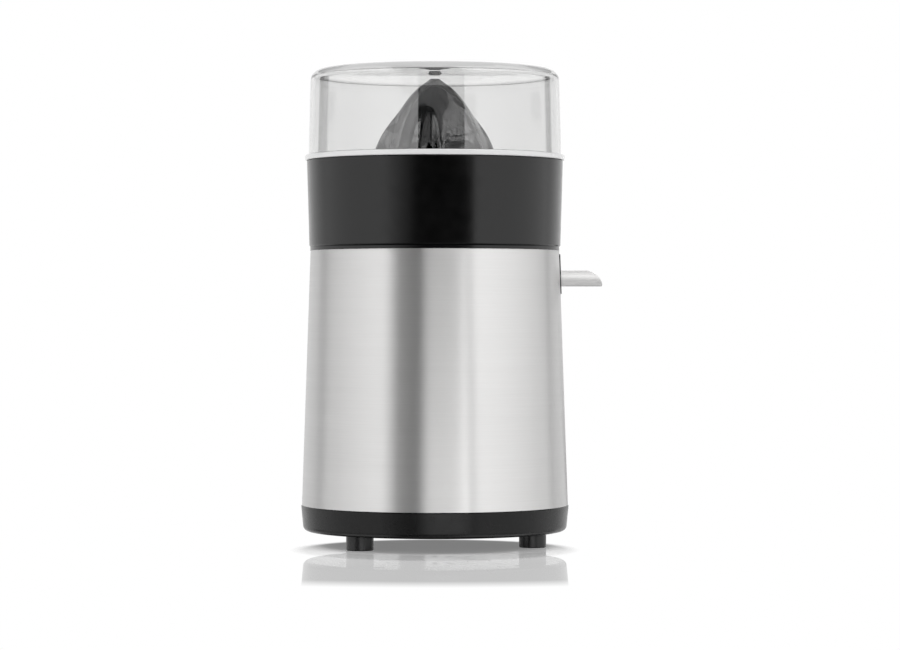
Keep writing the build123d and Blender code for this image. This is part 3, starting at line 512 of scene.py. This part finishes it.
materials = {
    "clear_plastic": clear_plastic(),
    "cone_plastic": cone_plastic(),
    "black_plastic": satin_plastic("black_plastic", black, 0.2, fine_grain, polished_depth),
    "jacket_steel": brushed_jacket(),
    "spout_steel": worked_steel(
        "spout_steel", (0.57, 0.566, 0.562), 0.42, (60, 1, 1), spout_line, spout_line_depth),
    "black_rubber": black_rubber("black_rubber", 0.62, 0.5),
    "strainer_plastic": satin_plastic(
        "strainer_plastic", (0.045, 0.046, 0.048), 0.38, medium_grain, strainer_depth),
    "frame_plastic": satin_plastic("frame_plastic", (0.2, 0.21, 0.215), 0.48, coarse_grain, eroded_depth),
    "gear_plastic": satin_plastic(
        "gear_plastic", (0.72, 0.7, 0.65), 0.42, coarse_grain, moulded_depth, gear_edge),
    "bright_steel": worked_steel("bright_steel", (0.6, 0.6, 0.61), 0.24, (30, 30, 1)),
    "zinc_steel": worked_steel("zinc_steel", (0.52, 0.54, 0.57), 0.34, (4, 4, 4), zinc_grain),
    "spring_steel": worked_steel("spring_steel", (0.38, 0.38, 0.4), 0.3, (20, 20, 1)),
    "bronze": speckled("bronze", (0.36, 0.22, 0.1), (0.56, 0.38, 0.19), 1.0, 0.42, bronze_speck),
    "laminated_steel": banded(
        "laminated_steel", "Z", sheet_pitch, (0.06, 0.06, 0.065), (0.2, 0.2, 0.21), 0.8, 0.45,
        sheet_line_depth),
    "ferrite": speckled(
        "ferrite", (0.028, 0.028, 0.032), (0.06, 0.06, 0.066), 0.0, 0.55, ferrite_speck),
    "bobbin_plastic": satin_plastic("bobbin_plastic", (0.66, 0.63, 0.56), 0.45, coarse_grain, moulded_depth),
    "copper": banded(
        "copper", "Y", winding_pitch, (0.3, 0.1, 0.035), (0.62, 0.27, 0.12), 1.0, 0.3,
        winding_line_depth),
    "switch_plastic": satin_plastic("switch_plastic", (0.016, 0.016, 0.018), 0.4, fine_grain, moulded_depth),
    "tinned_brass": worked_steel("tinned_brass", (0.62, 0.6, 0.52), 0.3, (20, 1, 1)),
}
bowl_plastic = satin_plastic("black_plastic_bowl", black, 0.2, fine_grain, polished_depth)
base_plastic = satin_plastic("black_plastic_base", black, 0.26, fine_grain, satin_depth, shine=0.2)
# Painted shadow lines at the bowl's seam and at the base's seam
paint_seam_shadow(bowl_plastic, bowl_shadow_line_height)
paint_seam_shadow(base_plastic, base_shadow_line_height)
own_materials = {
    "juice_bowl": bowl_plastic,
    "deck": bowl_plastic,
    "base": base_plastic,
    "feet": black_rubber("black_rubber_feet", 0.32, 0.3),
    "outlet_gasket": black_rubber("black_rubber_gasket", 0.9, 0.02),
}
for piece in frame["record"]["subparts"]:
    mesh = nodes[piece["node"]].data
    mesh.materials.clear()
    mesh.materials.append(own_materials.get(piece["node"], materials[piece["material_slot"]]))


# Shapes
def mesh_object(name, points, faces):
    mesh = bpy.data.meshes.new(name)
    mesh.from_pydata(points, [], faces)
    mesh.shade_smooth()
    made = bpy.data.objects.new(name, mesh)
    scene.collection.objects.link(made)
    return made


def rounded(corners):
    """Closed outline in radius and height: each corner is (radius, height, rounding)."""
    points = []
    for index, (radius, height, rounding) in enumerate(corners):
        corner = Vector((radius, height))
        if rounding == 0:
            points.append(corner)
            continue
        before = (Vector(corners[index - 1][:2]) - corner).normalized()
        after = (Vector(corners[(index + 1) % len(corners)][:2]) - corner).normalized()
        half = before.angle(after) / 2
        middle = corner + (before + after).normalized() * rounding / sin(half)
        first = corner + before * rounding / tan(half)
        last = corner + after * rounding / tan(half)
        sweep = (first - middle).angle_signed(last - middle)
        points.append(first + before * rounding * support_share)
        for step in range(corner_steps + 1):
            turn = Matrix.Rotation(-sweep * step / corner_steps, 2)
            points.append(middle + turn @ (first - middle))
        points.append(last + after * rounding * support_share)
    return points


def turned(name, outline):
    """Turns an outline round the spin axis; a point on the axis becomes a pole."""
    angles = [2 * pi * step / turn_segments for step in range(turn_segments)]
    points = []
    rings = []
    for radius, height in outline:
        if radius == 0:
            rings.append([len(points)] * turn_segments)
            points.append((0, 0, height))
            continue
        rings.append([len(points) + step for step in range(turn_segments)])
        points += [(radius * cos(angle), radius * sin(angle), height) for angle in angles]
    faces = []
    for inner, outer in zip(rings, rings[1:] + rings[:1]):
        for step in range(turn_segments):
            after = (step + 1) % turn_segments
            face = list(dict.fromkeys((inner[step], outer[step], outer[after], inner[after])))
            if len(face) > 2:
                faces.append(face)
    return mesh_object(name, points, faces)


# Lid
def across_top(radius, height, rise):
    """Corners across the lid's top from the middle out, where it is higher by the rise."""
    return [(radius * share, height + rise * (1 - share ** 2), 0) for share in top_ring_shares]


def add_lid():
    """Clear shell with a round shoulder and a locating lip, and the rim that rests on the bowl."""
    seat = lid_low.z + lid_lip_depth
    flange_top = seat + lid_flange_height
    top = lid_high.z - lid_dome
    top_inside = top - lid_top_wall
    wall_radius = lid_flange_radius - lid_flange_proud
    top_radius = wall_radius - lid_draft
    lip_radius = wall_radius - lid_lip_set_in
    outside = across_top(top_radius, top, lid_dome)
    inside = across_top(top_radius - lid_wall, top_inside, 0)
    shell = turned("lid_shell", rounded(outside + [
        (top_radius, top, lid_corner),
        (wall_radius, seat, lid_edge_round),
        (lip_radius, seat, lid_edge_round),
        (lip_radius, lid_low.z, lid_edge_round),
        (lip_radius - lid_lip_wall, lid_low.z, lid_edge_round),
        (lip_radius - lid_lip_wall, flange_top, lid_edge_round),
        (wall_radius - lid_wall, flange_top, lid_edge_round),
        (top_radius - lid_wall, top_inside, lid_inner_corner),
    ] + inside[::-1]))
    rim_inside = wall_radius + lid_fit
    rim = turned("lid_rim", rounded([
        (rim_inside, flange_top, 0),
        (lid_flange_radius, flange_top, lid_flange_round),
        (lid_flange_radius, seat, lid_flange_round),
        (rim_inside, seat, 0),
    ]))
    shell.data.materials.append(materials["clear_plastic"])
    shell.data.materials.append(shoulder_painted_highlight())
    # Faces high on the shoulder that look up get the painted highlight
    for face in shell.data.polygons:
        high_up = face.center.z > top - lid_corner
        far_out = face.center.xy.length > top_radius - lid_corner
        face.material_index = int(high_up and far_out and face.normal.z > highlight_rise_share)
    # The rim gets the painted light
    rim.data.materials.append(rim_painted_light())
    for piece in (shell, rim):
        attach(piece, "lid")
        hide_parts("lid")


# Return spring
def add_spring():
    """Wire coil under the press collar."""
    low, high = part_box("return_spring")
    coil_radius = high.x - spring_wire_radius
    first = low.z + spring_wire_radius
    rise = high.z - spring_wire_radius - first
    slope = rise / (2 * pi * spring_turns * coil_radius)
    count = spring_turns * spring_steps
    points = []
    for step in range(count + 1):
        angle = 2 * pi * step / spring_steps
        outward = Vector((cos(angle), sin(angle), 0))
        middle = outward * coil_radius + Vector((0, 0, first + rise * step / count))
        forward = Vector((-sin(angle), cos(angle), slope)).normalized()
        upward = outward.cross(forward)
        for side in range(spring_sides):
            turn = 2 * pi * side / spring_sides
            points.append(middle + (outward * cos(turn) + upward * sin(turn)) * spring_wire_radius)
    first_end = tuple(reversed(range(spring_sides)))
    last_end = tuple(range(count * spring_sides, len(points)))
    faces = [first_end, last_end]
    for step in range(count):
        ring = step * spring_sides
        next_ring = ring + spring_sides
        for side in range(spring_sides):
            after = (side + 1) % spring_sides
            faces.append((ring + side, ring + after, next_ring + after, next_ring + side))
    spring = mesh_object("spring_coil", points, faces)
    spring.data.materials.append(materials["spring_steel"])
    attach(spring, "housing")
    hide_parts("return_spring")
    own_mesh(spring)


# Studio
def shader_material(name):
    """A material with its output only, for the floor and the panels."""
    material = bpy.data.materials.new(name)
    material.use_nodes = True
    tree = material.node_tree
    tree.nodes.remove(tree.nodes["Principled BSDF"])
    return material, tree, tree.nodes["Material Output"].inputs["Surface"]


def seen_directly(tree):
    """1 for rays from the camera, and for those that metal or glass has turned."""
    path = add(tree, "ShaderNodeLightPath").outputs
    either = calculate(tree, "MAXIMUM", path["Is Camera Ray"], path["Is Glossy Ray"])
    return calculate(tree, "MAXIMUM", either, path["Is Transmission Ray"])


def seen_in_gloss(tree):
    """0 for rays that the floor's sharp mirror sent or that only passed a clear piece, else 1."""
    path = add(tree, "ShaderNodeLightPath").outputs
    not_sharp = calculate(tree, "SUBTRACT", 1.0, path["Is Singular Ray"])
    mirrored = calculate(tree, "MINIMUM", path["Glossy Depth"], 1.0)
    return levels(tree, path["Is Transmission Ray"], not_sharp, mirrored, 0, 1)


def add_world():
    """White where it is seen, dimmer as a light."""
    scene.world = bpy.data.worlds.new("studio")
    scene.world.use_nodes = True
    tree = scene.world.node_tree
    lit = tree.nodes["Background"]
    put_all(tree, lit, {"Color": grey(1), "Strength": world_level})
    white = add(tree, "ShaderNodeBackground", {"Color": grey(1), "Strength": 1.0})
    mixed = blend(tree, seen_directly(tree), lit.outputs[0], white.outputs[0])
    put(tree, tree.nodes["World Output"].inputs["Surface"], mixed)


def floor_paleness(tree, direct):
    """Little near the object, where its shadow falls, and 1 further off."""
    fade_end = levels(tree, direct, mirrored_shadow_end, shadow_end, 0, 1)
    middle = (shadow_middle * cos(camera_angle), shadow_middle * sin(camera_angle), 0)
    inputs = {0: object_place(tree), 1: middle}
    away = add(tree, "ShaderNodeVectorMath", inputs, operation="DISTANCE").outputs["Value"]
    return levels(tree, away, shadow_paleness, 1.0, shadow_start, fade_end)


def floor_polish(tree, direct):
    """A sharp mirror for the camera and a softer one for the object."""
    sharp = add(tree, "ShaderNodeBsdfGlossy", {"Color": grey(1), "Roughness": 0.0})
    soft = add(tree, "ShaderNodeBsdfGlossy", {"Color": grey(1), "Roughness": floor_roughness})
    return blend(tree, direct, soft.outputs[0], sharp.outputs[0])


def floor_mirror_share(tree, direct):
    """How much of the floor is mirror: for the camera a band near the object only."""
    inputs = {0: object_place(tree)}
    reach = add(tree, "ShaderNodeVectorMath", inputs, operation="LENGTH").outputs["Value"]
    near = levels(tree, reach, 0, floor_mirror, *mirror_start)
    far = levels(tree, reach, floor_mirror, 0, *mirror_end)
    shown = calculate(tree, "MINIMUM", near, far)
    return levels(tree, direct, floor_gloss, shown, 0, 1)


def add_floor():
    """Pale floor: shadow and a faint mirror image fall on it near the object, further off it is white."""
    angles = [2 * pi * step / floor_segments for step in range(floor_segments)]
    rim = [(floor_radius * cos(angle), floor_radius * sin(angle), 0) for angle in angles]
    floor = mesh_object("floor", rim, [tuple(range(floor_segments))])
    material, tree, surface = shader_material("floor")
    direct = add(tree, "ShaderNodeLightPath").outputs["Is Camera Ray"]
    shaded = add(tree, "ShaderNodeBsdfDiffuse", {"Color": grey(floor_grey)}).outputs[0]
    white = add(tree, "ShaderNodeEmission", {"Color": grey(1), "Strength": 1.0}).outputs[0]
    pale = blend(tree, floor_paleness(tree, direct), shaded, white)
    shown = blend(tree, floor_mirror_share(tree, direct), pale, floor_polish(tree, direct))
    put(tree, surface, blend(tree, seen_directly(tree), shaded, shown))
    floor.data.materials.append(material)


def card_material(name):
    """Shines as bright as the card's points say, and is clear to rays that leave the cards out."""
    material, tree, surface = shader_material(name)
    strength = add(tree, "ShaderNodeAttribute", attribute_name="brightness").outputs["Fac"]
    lit = add(tree, "ShaderNodeEmission", {"Color": grey(1), "Strength": strength})
    clear = add(tree, "ShaderNodeBsdfTransparent")
    put(tree, surface, blend(tree, seen_in_gloss(tree), clear.outputs[0], lit.outputs[0]))
    return material


def add_card(name, distances, turns, heights, brightness, top_turns=None):
    """Black cloth or a bright panel, curved round the object, that the camera itself doesn't see."""
    points = []
    shade_values = []
    for step in range(card_steps + 1):
        share = step / card_steps
        for distance, height, (left, right) in zip(distances, heights, (turns, top_turns or turns)):
            angle = camera_angle + radians(left + (right - left) * share)
            points.append((distance * cos(angle), distance * sin(angle), height))
            shade_values.append(brightness[0] + (brightness[1] - brightness[0]) * share)
    faces = [(2 * step, 2 * step + 2, 2 * step + 3, 2 * step + 1) for step in range(card_steps)]
    card = mesh_object(name, points, faces)
    card.data.attributes.new("brightness", "FLOAT", "POINT").data.foreach_set("value", shade_values)
    card.data.materials.append(card_material(name))
    card.visible_camera = False
    card.visible_diffuse = False
    card.visible_shadow = False


def add_lamp(name, turn, middle, width, height, power):
    """Soft area lamp that no surface mirrors, aimed at the spin axis at the camera's height."""
    data = bpy.data.lights.new(name, "AREA")
    data.shape = "RECTANGLE"
    data.size = width
    data.size_y = height
    data.energy = power
    lamp = bpy.data.objects.new(name, data)
    angle = camera_angle + radians(turn)
    lamp.location = (lamp_distance * cos(angle), lamp_distance * sin(angle), middle)
    aim = -lamp.location
    aim.z += camera_height
    lamp.rotation_euler = aim.to_track_quat("-Z", "Y").to_euler()
    lamp.visible_camera = False
    lamp.visible_glossy = False
    scene.collection.objects.link(lamp)


def add_camera():
    """Level camera at the photograph's place; its shift gives the photograph's framing."""
    data = bpy.data.cameras.new("camera")
    data.sensor_width = sensor_width
    data.lens = focal_pixels / image_width * sensor_width
    data.shift_x = (image_width / 2 - axis_pixel) / image_width
    data.shift_y = (horizon_pixel - image_height / 2) / image_width
    camera = bpy.data.objects.new("camera", data)
    across = camera_distance * cos(camera_angle)
    back = camera_distance * sin(camera_angle)
    camera.location = (across, back, camera_height)
    camera.rotation_euler = (pi / 2, 0, camera_angle + pi / 2)
    scene.collection.objects.link(camera)
    scene.camera = camera


add_lid()
add_spring()
add_world()
add_floor()
for name, values in cards.items():
    add_card(name, *values)
for name, values in lamps.items():
    add_lamp(name, *values)
add_camera()
scene.view_settings.view_transform = "Standard"
